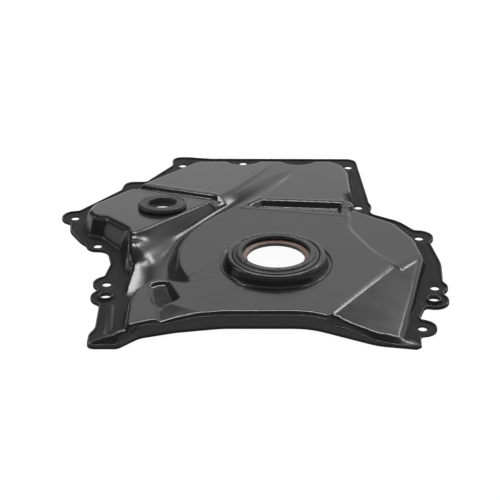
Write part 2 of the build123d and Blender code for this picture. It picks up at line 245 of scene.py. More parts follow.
def signed_distance(points):
    """Distance to a closed outline at each grid point, positive inside and up to the reach."""
    near = np.full(SHAPE, REACH)
    flips = np.zeros((SHAPE[0], SHAPE[1] + 1), int)
    for a, b in zip(points, np.roll(points, -1, axis=0)):
        step = b - a
        length = step @ step
        if length < 1e-12:
            continue
        low = np.minimum(a, b) - REACH
        high = np.maximum(a, b) + REACH
        i0 = max(0, int((low[0] - GRID_X[0]) / CELL))
        i1 = min(SHAPE[1], max(0, int((high[0] - GRID_X[0]) / CELL) + 2))
        j0 = max(0, int((low[1] - GRID_Y[0]) / CELL))
        j1 = min(SHAPE[0], max(0, int((high[1] - GRID_Y[0]) / CELL) + 2))
        px = GRID_X[i0:i1] - a[0]
        py = (GRID_Y[j0:j1] - a[1])[:, None]
        share = np.clip((px * step[0] + py * step[1]) / length, 0, 1)
        away = np.hypot(px - share * step[0], py - share * step[1])
        np.minimum(near[j0:j1, i0:i1], away, out=near[j0:j1, i0:i1])
        if a[1] != b[1]:
            y0, y1 = min(a[1], b[1]), max(a[1], b[1])
            first = max(0, math.ceil((y0 - GRID_Y[0]) / CELL))
            last = min(SHAPE[0], max(0, math.ceil((y1 - GRID_Y[0]) / CELL)))
            rows = np.arange(first, last)
            cross = a[0] + (GRID_Y[rows] - a[1]) * step[0] / step[1]
            columns = np.clip(np.ceil((cross - GRID_X[0]) / CELL), 0, SHAPE[1]).astype(int)
            np.add.at(flips, (rows, columns), 1)
    inside = np.cumsum(flips, axis=1)[:, :-1] % 2 == 1
    return np.where(inside, near, -near)


def from_point(centre):
    return np.hypot(XX - centre[0], YY - centre[1])


def from_line(a, b):
    a, b = np.array(a), np.array(b)
    step = b - a
    share = np.clip(((XX - a[0]) * step[0] + (YY - a[1]) * step[1]) / (step @ step), 0, 1)
    return np.hypot(XX - a[0] - share * step[0], YY - a[1] - share * step[1])


def padded(field, cells):
    return np.pad(field, cells, mode="edge")


def ball(radius):
    """Cells under a ball's radius, with the drop of the ball's surface at each."""
    cells = int(radius / CELL)
    return cells, [
        (i, j, radius - math.sqrt(radius ** 2 - (i * i + j * j) * CELL ** 2))
        for i in range(-cells, cells + 1)
        for j in range(-cells, cells + 1)
        if (i * i + j * j) * CELL ** 2 < radius ** 2
    ]


def erode(field, radius):
    cells, steps = ball(radius)
    wide = padded(field, cells)
    out = field.copy()
    for i, j, drop in steps:
        part = wide[cells + j:cells + j + SHAPE[0], cells + i:cells + i + SHAPE[1]]
        np.minimum(out, part + drop, out=out)
    return out


def dilate(field, radius):
    return -erode(-field, radius)


def round_crests(field, radius):
    return dilate(erode(field, radius), radius)


def round_roots(field, radius):
    return erode(dilate(field, radius), radius)


def blur(field, sigma, reach=2.5):
    cells = max(1, math.ceil(reach * sigma / CELL))
    weights = np.exp(-0.5 * (np.arange(-cells, cells + 1) * CELL / sigma) ** 2)
    weights /= weights.sum()
    wide = padded(field, cells)
    rows = sum(w * wide[k:k + SHAPE[0]] for k, w in enumerate(weights))
    return sum(w * rows[:, k:k + SHAPE[1]] for k, w in enumerate(weights))


def sample(field, x, y):
    """A field's value at any point, between the grid's points."""
    u = np.clip((x - GRID_X[0]) / CELL, 0, SHAPE[1] - 1.001)
    v = np.clip((y - GRID_Y[0]) / CELL, 0, SHAPE[0] - 1.001)
    i = u.astype(int)
    j = v.astype(int)
    u = u - i
    v = v - j
    low = field[j, i] * (1 - u) + field[j, i + 1] * u
    high = field[j + 1, i] * (1 - u) + field[j + 1, i + 1] * u
    return low * (1 - v) + high * v


def smooth_step(value, start, end):
    t = np.clip((value - start) / (end - start), 0, 1)
    return t * t * (3 - 2 * t)


def cubic(start, end, start_slope, end_slope, t):
    """Height at share t of a cubic between two heights, with the slopes at both ends."""
    return (
        start * (1 + 2 * t) * (1 - t) ** 2
        + start_slope * t * (1 - t) ** 2
        + end * t * t * (3 - 2 * t)
        + end_slope * t * t * (t - 1)
    )


def monotone(knots, values, at):
    """Cubic through the knots that never passes a knot's height between two of them."""
    knots = np.asarray(knots, float)
    values = np.asarray(values, float)
    gap = np.diff(knots)
    slope = np.diff(values) / gap
    tangent = np.zeros(len(knots))
    tangent[0], tangent[-1] = slope[0], slope[-1]
    for k in range(1, len(knots) - 1):
        if slope[k - 1] * slope[k] > 0:
            tangent[k] = 2 * slope[k - 1] * slope[k] / (slope[k - 1] + slope[k])
    k = np.clip(np.searchsorted(knots, at, side="right") - 1, 0, len(gap) - 1)
    t = (at - knots[k]) / gap[k]
    return cubic(values[k], values[k + 1], gap[k] * tangent[k], gap[k] * tangent[k + 1], t)


def through(knots, rows, at):
    """Smooth curve through rows of numbers, one row at each knot."""
    rows = np.asarray(rows, float)
    tangent = np.gradient(rows, knots, axis=0)
    k = np.clip(np.searchsorted(knots, at, side="right") - 1, 0, len(knots) - 2)
    gap = (knots[k + 1] - knots[k])[:, None]
    t = ((at - knots[k])[:, None]) / gap
    return cubic(rows[k], rows[k + 1], gap * tangent[k], gap * tangent[k + 1], t)


# The outline

def chains(onward):
    """Closed chains of a table that gives what follows each entry."""
    onward = dict(onward)
    while onward:
        here = next(iter(onward))
        chain = []
        while here in onward:
            chain.append(here)
            here = onward.pop(here)
        yield chain


def outline_points():
    """The outer outline of the cover where it lies on the sealing plane, from the CAD model."""
    mesh = frame["nodes"]["cover_pressing"].data
    mesh.calc_loop_triangles()
    co = np.zeros(len(mesh.vertices) * 3, np.float32)
    mesh.vertices.foreach_get("co", co)
    co = co.reshape(-1, 3).astype(float) / MM
    tris = np.zeros(len(mesh.loop_triangles) * 3, np.int32)
    mesh.loop_triangles.foreach_get("vertices", tris)
    _, first, same = np.unique(np.round(co, 3), axis=0, return_index=True, return_inverse=True)
    tris = same.reshape(-1)[tris].reshape(-1, 3)
    co = co[first]
    tris = tris[(np.abs(co[tris][:, :, 2]) < 1e-3).all(axis=1)]
    edges = {}
    for a, b, c in tris.tolist():
        for edge in ((a, b), (b, c), (c, a)):
            edges[edge] = True
    onward = {a: b for a, b in edges if (b, a) not in edges}
    loops = [co[chain][:, :2] for chain in chains(onward)]
    return max(loops, key=lambda p: np.ptp(p[:, 0]) * np.ptp(p[:, 1]))


def eased(points, spacing=0.5, sigma=1.2, reach=3):
    """A closed outline with even spacing and its facets smoothed away."""
    closed = np.vstack([points, points[:1]])
    run = np.concatenate([[0], np.cumsum(np.linalg.norm(np.diff(closed, axis=0), axis=1))])
    count = int(run[-1] / spacing)
    at = np.arange(count) * run[-1] / count
    even = np.stack([np.interp(at, run, closed[:, k]) for k in (0, 1)], axis=1)
    cells = math.ceil(reach * sigma / spacing)
    weights = np.exp(-0.5 * (np.arange(-cells, cells + 1) * spacing / sigma) ** 2)
    weights /= weights.sum()
    return sum(w * np.roll(even, cells - k, axis=0) for k, w in enumerate(weights))


def mount_centres(prefix):
    """Centres of the mounts whose names begin with a prefix, from the record."""
    return [
        np.array(mount["pos_m"][:2], float) / MM
        for mount in frame["record"]["mounts"]
        if mount["name"].startswith(prefix)
    ]


BOLT_CENTRES = mount_centres("bolt_")
DOWEL_CENTRES = mount_centres("dowel_")
OUTLINE = eased(outline_points())
EDGE = signed_distance(OUTLINE)


# The sheet's heights

def bay_height(y):
    return BACK_EDGE_HEIGHT + BAY_SLOPE * (BACK_EDGE_Y - y)


def back_height(y):
    return BACK_EDGE_HEIGHT + BACK_SLOPE * (BACK_EDGE_Y - y)


def wall_height(inside):
    """Height of a drawn wall at a distance inside its foot."""
    return SHEET + inside / WALL_RUN


def crank_side(inside):
    """Height of the crank field, its slope to the back edge, the facet and the shoulder."""
    crease = (CREASE_END - CREASE_START) / np.linalg.norm(CREASE_END - CREASE_START)
    beyond = (XX - CREASE_START[0]) * crease[1] - (YY - CREASE_START[1]) * crease[0]
    height = np.minimum(BODY_TOP, back_height(YY))
    height = np.minimum(height, BODY_TOP - FACET_SLOPE * beyond)
    height = np.minimum(height, wall_height(inside))
    shoulder_plane = BODY_TOP - SHOULDER_SLOPE * (YY - CREASE_END[1])
    outside = np.maximum(0, -signed_distance(rounded(SHOULDER_CORNERS)))
    return np.minimum(height, shoulder_plane + SHOULDER_RISE * outside)


def chute_field():
    """Height of the chute's twisting surface, and no limit elsewhere."""
    shares = np.linspace(0, 1, CHUTE_SHARES)
    rows = []
    middles = []
    for bay_rim, crank_rim, bay_top, crank_top, floor in CHUTE_SECTIONS:
        knots = [0.0] + [s for s, _ in floor] + [1.0]
        heights = [bay_top] + [h for _, h in floor] + [crank_top]
        profile = monotone(knots, heights, shares)
        rows.append(np.concatenate([bay_rim, crank_rim, profile]))
        middles.append((np.array(bay_rim) + np.array(crank_rim)) / 2)
    steps = np.linalg.norm(np.diff(np.array(middles), axis=0), axis=1)
    knots = np.concatenate([[0], np.cumsum(steps)])
    dense = through(knots, rows, np.linspace(0, knots[-1], int(knots[-1] / CHUTE_SPACING)))
    x = dense[:, 0:1] * (1 - shares) + dense[:, 2:3] * shares
    y = dense[:, 1:2] * (1 - shares) + dense[:, 3:4] * shares
    z = dense[:, 4:]
    total = np.zeros(SHAPE)
    weight = np.zeros(SHAPE)
    u = (x.ravel() - GRID_X[0]) / CELL
    v = (y.ravel() - GRID_Y[0]) / CELL
    keep = (u > 0) & (v > 0) & (u < SHAPE[1] - 2) & (v < SHAPE[0] - 2)
    u, v, z = u[keep], v[keep], z.ravel()[keep]
    i, j = u.astype(int), v.astype(int)
    for di in (0, 1):
        for dj in (0, 1):
            w = (1 - np.abs(u - i - di)) * (1 - np.abs(v - j - dj))
            np.add.at(total, (j + dj, i + di), w * z)
            np.add.at(weight, (j + dj, i + di), w)
    return np.where(weight > 0.05, total / np.maximum(weight, 1e-9), NO_LIMIT)


def with_tongue(height, inside):
    """Adds the tongue to a height field, with its pocket and the facet in front of that."""
    plane = BODY_TOP + TONGUE_SLOPE * (XX - TONGUE_HINGE_X)
    height = np.maximum(height, np.minimum(plane, wall_height(inside)))
    deep = np.clip(POCKET_DEPTH + POCKET_SLOPE * (POCKET_BACK_Y - YY), POCKET_DEPTH, POCKET_DEEPEST)
    bowl = np.clip(signed_distance(rounded(POCKET_CORNERS)) * POCKET_SIDE, 0, deep)
    height = np.where(bowl > 0, np.minimum(height, plane - bowl), height)
    slope_x, slope_y, level = TONGUE_FACET
    left = TONGUE_FACET_LEFT_HEIGHT + TONGUE_FACET_LEFT_SLOPE * (TONGUE_FACET_LEFT - XX)
    facet = np.maximum(slope_x * XX + slope_y * YY + level, left)
    in_front = (YY < TONGUE_FACET_BACK_Y) & (XX < TONGUE_HINGE_X)
    return np.where(in_front, np.minimum(height, facet), height)


def with_bead(height, corners, plane, depth):
    """Presses a bead into a height field, with softly rounded edges and sloping sides."""
    inside = np.maximum(0, signed_distance(rounded(corners)))
    edge = np.minimum(inside, BEAD_ROUND_RUN) ** 2 / (2 * BEAD_ROUND_RADIUS)
    side = BEAD_SIDE * np.maximum(0, inside - BEAD_ROUND_RUN)
    floor = plane - np.minimum(depth, edge + side)
    return np.where(inside > 0, np.minimum(height, floor), height)


def flange_height(wall):
    """Height of the flange with its low bead, from the distance inside the nearest wall."""
    share = EDGE / np.maximum(EDGE - wall, FLANGE_NARROWEST)
    clear = np.min([from_point(centre) for centre in BOLT_CENTRES + DOWEL_CENTRES], axis=0)
    bead = FLANGE_BEAD_HEIGHT * np.exp(-(((share - 0.5) / FLANGE_BEAD_SHARE) ** 2))
    bead *= smooth_step(clear, *FLANGE_BEAD_FROM_HOLE) * smooth_step(-wall, *FLANGE_BEAD_FROM_WALL)
    return SHEET + bead


def with_front(height):
    """Cuts a height field along the front by the leaning facet, with the ridge at its top."""
    away = signed_distance(rounded(FRONT_CORNERS))
    at, foot, slope, crest = np.array(FRONT_FACET, float).T
    foot, slope, crest = (np.interp(XX, at, column) for column in (foot, slope, crest))
    facet = foot + slope * away
    ridge = np.minimum(facet, crest - RIDGE_BACK_SLOPE * (away - (crest - foot) / slope))
    height = np.maximum(height, np.where(YY < FRONT_WALL_Y, ridge, 0))
    return np.where(away < FRONT_REACH, np.minimum(height, facet), height)


def raised_lines():
    bead_edges = [
        (start, end, BEAD_EDGE_RISE, BEAD_EDGE_WIDTH)
        for chain in BEAD_EDGE_CHAINS
        for start, end in zip(chain, chain[1:])
    ]
    return WRINKLES + FLANGE_MARKS + FACET_EDGES + bead_edges


def upper_field():
    """Height of the outer side of the sheet, without its rim, holes and boss."""
    inside = signed_distance(rounded(BODY_CORNERS))
    bay_inside = signed_distance(rounded(BAY_CORNERS))
    tongue_inside = signed_distance(rounded(TONGUE_CORNERS))
    for x, y, radius in SCALLOPS:
        clear = from_point((x, y)) - radius
        inside = np.minimum(inside, clear)
        bay_inside = np.minimum(bay_inside, clear)
    bay = np.minimum(bay_height(YY), wall_height(bay_inside))
    height = np.minimum(np.maximum(crank_side(inside), bay), chute_field())
    height = with_tongue(height, tongue_inside)
    height = with_bead(height, LEFT_BEAD, bay_height(YY), LEFT_BEAD_DEPTH)
    height = with_bead(height, RIGHT_BEAD, back_height(YY), RIGHT_BEAD_DEPTH)
    wall = np.maximum(np.maximum(inside, bay_inside), tongue_inside)
    height = with_front(np.maximum(height, flange_height(wall)))
    height = round_roots(round_crests(height, CREST_RADIUS), ROOT_RADIUS)
    for start, end, rise, width in raised_lines():
        height = height + rise * np.exp(-((from_line(start, end) / width) ** 2))
    return blur(height, UPPER_BLUR)


UPPER = upper_field()
UPPER_FLAT = np.maximum(UPPER, 0)
LOWER = np.maximum(0, blur(erode(np.where(EDGE > -1, UPPER, 0), SHEET), LOWER_BLUR) - SHEET)


# The sheet's mesh

# Points round a block of two by two cells: row, column, and the step to the block beyond
BLOCK_RING = [
    (0, 0, 0, 0), (0, 1, -1, 0), (0, 2, 0, 0), (1, 2, 0, 1),
    (2, 2, 0, 0), (2, 1, 1, 0), (2, 0, 0, 0), (1, 0, 0, -1),
]


def flat_blocks(full, fields):
    """Blocks of two by two whole cells over which both sides of the sheet are flat."""
    rows, columns = full.shape[0] // 2, full.shape[1] // 2
    full = full[:2 * rows, :2 * columns]
    flat = full[0::2, 0::2] & full[1::2, 0::2] & full[0::2, 1::2] & full[1::2, 1::2]
    for field in fields:
        z = field[:2 * rows + 1, :2 * columns + 1]
        a, b, c, d = z[:-1:2, :-1:2], z[:-1:2, 2::2], z[2::2, 2::2], z[2::2, :-1:2]
        for middle, ends in (
            (z[:-1:2, 1::2], (a + b) / 2), (z[2::2, 1::2], (c + d) / 2),
            (z[1::2, :-1:2], (a + d) / 2), (z[1::2, 2::2], (b + c) / 2),
            (z[1::2, 1::2], (a + b + c + d) / 4),
        ):
            flat = flat & (np.abs(middle - ends) < FLATNESS)
    return flat


class Surface:
    """The sheet seen from above, as cells that are cut along the borders of its features."""

    def __init__(self, features):
        self.features = features
        self.grid_x = GRID_X[::MESH_STEP]
        self.grid_y = GRID_Y[::MESH_STEP]
        stack = np.array([feature["field"][::MESH_STEP, ::MESH_STEP] for feature in features])
        self.cut = stack.min(axis=0)
        keep = self.cut > 0
        ids = np.full(keep.shape, -1)
        ids[keep] = np.arange(keep.sum())
        x, y = np.meshgrid(self.grid_x, self.grid_y)
        self.xy = list(np.stack([x[keep], y[keep]], axis=1))
        self.faces = []
        self.links = {}
        count = keep[:-1, :-1].astype(int) + keep[:-1, 1:] + keep[1:, :-1] + keep[1:, 1:]
        full = count == 4
        self.merge_flat(full, ids)
        self.quads = np.stack(
            [ids[:-1, :-1][full], ids[:-1, 1:][full], ids[1:, 1:][full], ids[1:, :-1][full]],
            axis=1,
        )
        self.cut_cells((count > 0) & (count < 4), keep, ids)
        self.xy = np.array(self.xy)

    def merge_flat(self, full, ids):
        """Makes one face of each flat block, and takes its cells off the whole ones."""
        sides = [field[::MESH_STEP, ::MESH_STEP] for field in (UPPER_FLAT, LOWER)]
        flat = flat_blocks(full, sides)
        for j, i in zip(*np.nonzero(flat)):
            polygon = []
            for row, column, row_step, column_step in BLOCK_RING:
                m, n = j + row_step, i + column_step
                joined = 0 <= m < flat.shape[0] and 0 <= n < flat.shape[1] and flat[m, n]
                if (m, n) == (j, i) or not joined:
                    polygon.append(int(ids[2 * j + row, 2 * i + column]))
            self.faces.append(polygon)
        full[:2 * flat.shape[0], :2 * flat.shape[1]] &= ~np.kron(flat, np.ones((2, 2), bool))

    def cut_cells(self, cells, keep, ids):
        """Makes the faces of cells that a border crosses, and links the points along it."""
        crossing = {}
        for j, i in zip(*np.nonzero(cells)):
            corners = [(j, i), (j, i + 1), (j + 1, i + 1), (j + 1, i)]
            polygon = []
            ends = []
            for a, b in zip(corners, corners[1:] + corners[:1]):
                if keep[a]:
                    polygon.append(int(ids[a]))
                if keep[a] != keep[b]:
                    side = (min(a, b), max(a, b))
                    if side not in crossing:
                        crossing[side] = self.add_crossing(a, b)
                    ends.append((crossing[side], keep[a]))
                    polygon.append(crossing[side])
            self.faces.append(polygon)
            for n, (point, leaving) in enumerate(ends):
                if leaving:
                    self.links[point] = ends[(n + 1) % len(ends)][0]

    def add_crossing(self, a, b):
        """Adds the point where a border crosses the side between two corners of a cell."""
        share = self.cut[a] / (self.cut[a] - self.cut[b])
        x = self.grid_x[a[1]] + share * (self.grid_x[b[1]] - self.grid_x[a[1]])
        y = self.grid_y[a[0]] + share * (self.grid_y[b[0]] - self.grid_y[a[0]])
        self.xy.append(np.array([x, y]))
        return len(self.xy) - 1

    def loops(self):
        """Each closed border, with the feature that it belongs to."""
        for chain in chains(self.links):
            x, y = self.xy[chain[:1]].T
            near = [abs(float(sample(f["field"], x, y)[0])) for f in self.features]
            yield self.features[int(np.argmin(near))], np.array(chain)


def sheet_mesh(features):
    """Vertices and faces of the closed sheet: its upper side, its edges and its lower side."""
    surface = Surface(features)
    x, y = surface.xy[:, 0], surface.xy[:, 1]
    top = np.stack([x, y, sample(UPPER_FLAT, x, y)], axis=1)
    under = np.stack([x, y, sample(LOWER, x, y)], axis=1)
    vertices = [top, under]
    base = len(x)
    total = 2 * base
    quads = [surface.quads, surface.quads[:, ::-1] + base]
    polygons = surface.faces + [[v + base for v in face[::-1]] for face in surface.faces]
    for feature, loop in surface.loops():
        rings = feature["rings"](surface.xy[loop])
        ids = [loop]
        for ring in rings:
            vertices.append(ring)
            ids.append(np.arange(total, total + len(ring)))
            total += len(ring)
        ids.append(loop + base)
        for a, b in zip(ids, ids[1:]):
            quads.append(np.stack([np.roll(a, -1), a, b, np.roll(b, -1)], axis=1))
    vertices, quads = np.vstack(vertices), np.vstack(quads)
    used = np.zeros(len(vertices), bool)
    used[quads] = True
    used[[v for polygon in polygons for v in polygon]] = True
    renumbered = np.cumsum(used) - 1
    faces = renumbered[quads].tolist() + [renumbered[polygon].tolist() for polygon in polygons]
    return vertices[used], faces


def nearest_on_outline(points, batch=500):
    """The outline's nearest point to each point."""
    a = OUTLINE
    step = np.roll(OUTLINE, -1, axis=0) - a
    length = (step ** 2).sum(axis=1)
    found = np.zeros_like(points)
    for start in range(0, len(points), batch):
        part = points[start:start + batch]
        rel = part[:, None] - a[None]
        share = np.clip((rel * step).sum(axis=2) / length, 0, 1)
        foot = a[None] + share[:, :, None] * step
        best = ((part[:, None] - foot) ** 2).sum(axis=2).argmin(axis=1)
        found[start:start + batch] = foot[np.arange(len(part)), best]
    return found


def outline_rings(start):
    """The upturned rim, or at the front the crest of the upright wall, down to the sealing plane."""
    foot = nearest_on_outline(start)
    inward = start - foot
    inward /= np.linalg.norm(inward, axis=1)[:, None]
    front = (foot[:, 1] < FRONT_START_Y) & (inward[:, 1] > FRONT_FACING)
    tall = RIM_HEIGHT + (sample(UPPER, start[:, 0], start[:, 1]) - RIM_HEIGHT) * front
    rows = []
    for share in RIM_ROOT_SHARES:
        rise = RIM_ROOT - math.sqrt(RIM_ROOT ** 2 - (RIM_ROOT * (1 - share)) ** 2)
        rows.append((SHEET + RIM_ROOT * share, SHEET + rise))
    for angle in RIM_CROWN_ANGLES:
        a = math.radians(angle)
        rows.append((RIM_CROWN + RIM_CROWN * math.cos(a), tall + RIM_CROWN * (math.sin(a) - 1)))
    rings = []
    for away, level in rows:
        p = foot + inward * away
        rings.append(np.column_stack([p, np.maximum(level, sample(UPPER, p[:, 0], p[:, 1]))]))
    last = rings[-1][:, 2]
    for away, level in (
        (0, FOOT_CHAMFER + (last - FOOT_CHAMFER) * 0.5), (0, FOOT_CHAMFER),
        (FOOT_MIDDLE, FOOT_MIDDLE), (FOOT_CHAMFER, 0),
    ):
        rings.append(np.column_stack([foot + inward * away, level + np.zeros(len(foot))]))
    return rings


def turned_rings(centre, profile, plane=None):
    """Rings round a centre, given as radius and height above a base height or plane."""
    def rings(start):
        out = start - centre
        out /= np.linalg.norm(out, axis=1)[:, None]
        made = []
        for radius, z in profile:
            p = centre + out * radius
            level = plane(p[:, 1]) if plane else 0.0
            made.append(np.column_stack([p, z + level + np.zeros(len(p))]))
        return made
    return rings


def arc(x, z, radius, start, end, steps):
    """Points of an arc in a section, angles in degrees."""
    return [
        (x + radius * math.cos(math.radians(a)), z + radius * math.sin(math.radians(a)))
        for a in np.linspace(start, end, steps)
    ]


HOLE_PROFILE = [
    (4.1, 1.5), (3.85, 1.44), (3.62, 1.28), (3.5, 1.0), (3.5, 0.25), (3.6, 0.05), (3.75, 0),
]
COLLAR_PROFILE = (
    [(8.1, 1.5)] + arc(7.9, 3.5, 2.0, -95, -170, 7) + arc(5.25, 3.45, 0.75, 0, 180, 9)
    + [(4.5, 2.5), (4.5, 1.6)] + arc(6.0, 1.5, 1.5, 180, 270, 5) + [(7.5, 0)]
)
# Moat round the boss, its wall and rounded rim, and the collar turned back inside it
BOSS_PROFILE = (
    [(45.4, 13.4), (44.8, 13.1), (44.1, 12.62), (43.4, 12.35), (42.7, 12.45), (42.1, 12.9),
     (41.6, 13.7), (41.3, 14.6), (40.9, 15.6), (40.4, 17.0)]
    + arc(36.9, 18.5, 3.0, 8, 90, 9)
    + arc(36.3, 19.7, 1.8, 90, 180, 8) + [(34.5, 17.0), (34.5, 12.2)]
    + arc(35.25, 12.0, 0.75, 180, 360, 7) + [(36.0, 14.0), (36.0, 17.5)]
    + arc(36.9, 18.5, 1.5, 150, 8, 6) + [(39.4, 14.5)] + arc(42.2, 14.1, 2.6, 190, 265, 6)
)
BUSH_HOLE_PROFILE = [(15.3, 0.0), (15.0, -0.3), (15.0, -1.3), (15.3, -1.5)]


def round_feature(centre, radius, profile, plane=None):
    """A round cut in the sheet, with the rings that lead from its upper to its lower side."""
    return {"field": from_point(centre) - radius, "rings": turned_rings(centre, profile, plane)}


FEATURES = [
    {"field": EDGE - RIM_ZONE, "rings": outline_rings},
    *(round_feature(centre, HOLE_CUT_R, HOLE_PROFILE) for centre in BOLT_CENTRES),
    *(round_feature(centre, COLLAR_CUT_R, COLLAR_PROFILE) for centre in DOWEL_CENTRES),
    round_feature(np.zeros(2), BOSS_CUT_R, BOSS_PROFILE),
    round_feature(BUSH_CENTRE, BUSH_CUT_R, BUSH_HOLE_PROFILE, bay_height),
]


def mesh_from(name, vertices, faces):
    mesh = bpy.data.meshes.new(name)
    mesh.from_pydata((np.asarray(vertices) * MM).tolist(), [], faces)
    mesh.validate()
    mesh.update()
    mesh.shade_smooth()
    return mesh


# Where a vertex is this far from every border and this near a side, it takes the side's normal.
NORMAL_CLEAR = 0.02
NORMAL_NEAR = 0.15


def set_sheet_normals(mesh):
    """Takes the normals of both sides of the sheet from their height fields."""
    count = len(mesh.vertices)
    co = np.zeros(count * 3, np.float32)
    mesh.vertices.foreach_get("co", co)
    co = co.reshape(-1, 3).astype(float) / MM
    normals = np.zeros(count * 3, np.float32)
    mesh.vertices.foreach_get("normal", normals)
    normals = normals.reshape(-1, 3).astype(float)
    x, y, z = co.T
    clear = np.min([sample(feature["field"], x, y) for feature in FEATURES], axis=0) > NORMAL_CLEAR
    for field, facing in ((UPPER_FLAT, 1), (LOWER, -1)):
        rise_y, rise_x = np.gradient(field, CELL)
        near = clear & (np.abs(z - sample(field, x, y)) < NORMAL_NEAR)
        flat = np.stack([-sample(rise_x, x, y), -sample(rise_y, x, y), np.ones(count)], axis=1)
        flat *= facing / np.linalg.norm(flat, axis=1)[:, None]
        normals[near] = flat[near]
    mesh.normals_split_custom_set_from_vertices(normals.tolist())


# Turned pieces

# Dimples in the face of the seal, with their half lengths round and across the ring
SEAL_SEGMENTS = 240
SEAL_DIMPLES = 6
SEAL_DIMPLE_START = 33.0
SEAL_DIMPLE_R = 29.6
SEAL_DIMPLE_HALF = (2.9, 1.5)
SEAL_DIMPLE_DEPTH = 0.55
SEAL_FACE_Z = 21.6

# Raised dashes in the groove of the bush's collar
BUSH_SEGMENTS = 224
BUSH_DASHES = 28
BUSH_DASH_R = 16.1
BUSH_DASH_RISE = 0.42
BUSH_FACE_Z = 3.5

SEAL_PROFILE = (
    [(34.15, 13.0), (34.5, 13.4), (34.5, 20.7)] + arc(33.6, 20.7, 0.9, 0, 75, 6)
    + [(33.3, 21.58), (32.9, 21.72), (32.5, 21.9), (31.9, 22.15), (31.4, 22.4)]
    + [(r, 23.7 - 0.048 * (r - 27.6) ** 2) for r in np.linspace(30.9, 28.0, 8)]
    + arc(27.75, 22.75, 0.95, 85, 180, 7) + [(26.8, 21.6), (26.8, 20.25), (27.4, 20.2)]
    + [(32.0, 20.2), (32.0, 13.3), (32.3, 13.0)]
)
LIP_PROFILE = [
    (32.0, 16.3), (32.0, 20.2), (27.3, 20.2), (26.3, 20.08), (25.4, 19.85), (24.6, 19.58),
    (23.9, 19.28), (23.3, 18.98), (22.95, 18.75), (22.8, 18.5), (22.8, 18.1), (22.95, 17.9),
    (23.15, 17.6), (23.15, 16.6), (23.3, 16.2), (23.6, 16.0), (31.7, 16.0),
]
BUSH_PROFILE = (
    [(20.2, 0.0), (20.5, 0.35), (20.5, 3.2)] + arc(19.5, 3.2, 1.0, 0, 60, 5)
    + arc(19.0, 4.05, 0.45, 40, 130, 5)
    + [(18.3, 4.15), (17.9, 3.98), (17.4, 3.9), (16.9, 3.88), (16.4, 3.88), (15.9, 3.88),
       (15.4, 3.88), (14.9, 3.9), (14.4, 3.98), (14.0, 4.15)]
    + arc(13.2, 3.8, 0.7, 60, 125, 5) + [(12.2, 4.1), (11.85, 3.75), (11.75, 3.2)]
    + [(11.95, 1.6), (11.95, 0.6), (11.6, 0.0), (11.5, -0.6), (11.6, -1.2), (11.95, -1.8),
       (11.95, -3.0), (12.1, -3.6), (12.5, -4.0), (14.6, -4.0), (15.0, -3.7), (15.0, 0.0)]
)


def seal_relief(radius, angles, height):
    """Shallow dimples in the face of the seal."""
    pitch = 2 * math.pi / SEAL_DIMPLES
    turn = (angles - math.radians(SEAL_DIMPLE_START) + pitch / 2) % pitch - pitch / 2
    half_round, half_across = SEAL_DIMPLE_HALF
    away = np.hypot(turn * radius / half_round, (radius - SEAL_DIMPLE_R) / half_across)
    return np.where(height > SEAL_FACE_Z, -SEAL_DIMPLE_DEPTH * smooth_step(-away, -1.0, -0.45), 0)


def bush_relief(radius, angles, height):
    """Short raised dashes in the groove of the bush's collar."""
    pitch = 2 * math.pi / BUSH_DASHES
    turn = np.abs((angles % pitch) / pitch - 0.5)
    dash = smooth_step(-turn, -0.34, -0.22)
    dash = dash * smooth_step(-np.abs(radius - BUSH_DASH_R), -1.5, -1.0)
    return np.where(height > BUSH_FACE_Z, BUSH_DASH_RISE * dash, 0)


def turned(name, profile, segments=180, relief=None, origin=(0, 0, 0), lean=0.0):
    """A ring turned from a closed profile of radius and height, on an axis that leans back."""
    angles = np.arange(segments) * 2 * math.pi / segments
    radius = np.array([r for r, _ in profile])[:, None] + np.zeros(segments)
    height = np.array([z for _, z in profile])[:, None] + np.zeros(segments)
    if relief:
        height = height + relief(radius, angles[None, :], height)
    local = np.stack([radius * np.cos(angles), radius * np.sin(angles), height], axis=2)
    tilt = math.hypot(1, lean)
    axes = np.array([[1, 0, 0], [0, 1 / tilt, -lean / tilt], [0, lean / tilt, 1 / tilt]])
    points = local.reshape(-1, 3) @ axes + np.array(origin)
    a = np.arange(len(profile) * segments).reshape(len(profile), segments)
    b = np.roll(a, -1, axis=0)
    faces = np.stack([a, np.roll(a, -1, axis=1), np.roll(b, -1, axis=1), b], axis=2)
    return mesh_from(name, points, faces.reshape(-1, 4).tolist())


# Materials, with heights in metres

PAINT_IOR = 1.36
PAINT_COLOURS = ((0.009, 0.009, 0.0095), (0.014, 0.0138, 0.0135))
PAINT_DUST = (0.045, 0.044, 0.042)
PAINT_ROUGHNESS = (0.15, 0.22)
FLANGE_DULLNESS = 0.72
FLANGE_TOP = (0.0022, 0.0030)
RUBBER_IOR = 1.33
RUBBER_COLOURS = ((0.010, 0.010, 0.011), (0.019, 0.019, 0.020))
RUBBER_ROUGHNESS = (0.36, 0.5)
LIP_IOR = 1.42
LIP_COLOURS = ((0.11, 0.058, 0.044), (0.15, 0.083, 0.064))
# The lip shows its brown only in a band of heights; the black below and above that band is painted
# shade.
LIP_PAINTED_SHADE = (0.008, 0.0075, 0.0075)
LIP_ROUGHNESS = (0.4, 0.52)
LIP_UNSHADED_START = (0.0186, 0.0189)
LIP_UNSHADED_END = (0.0199, 0.0202)


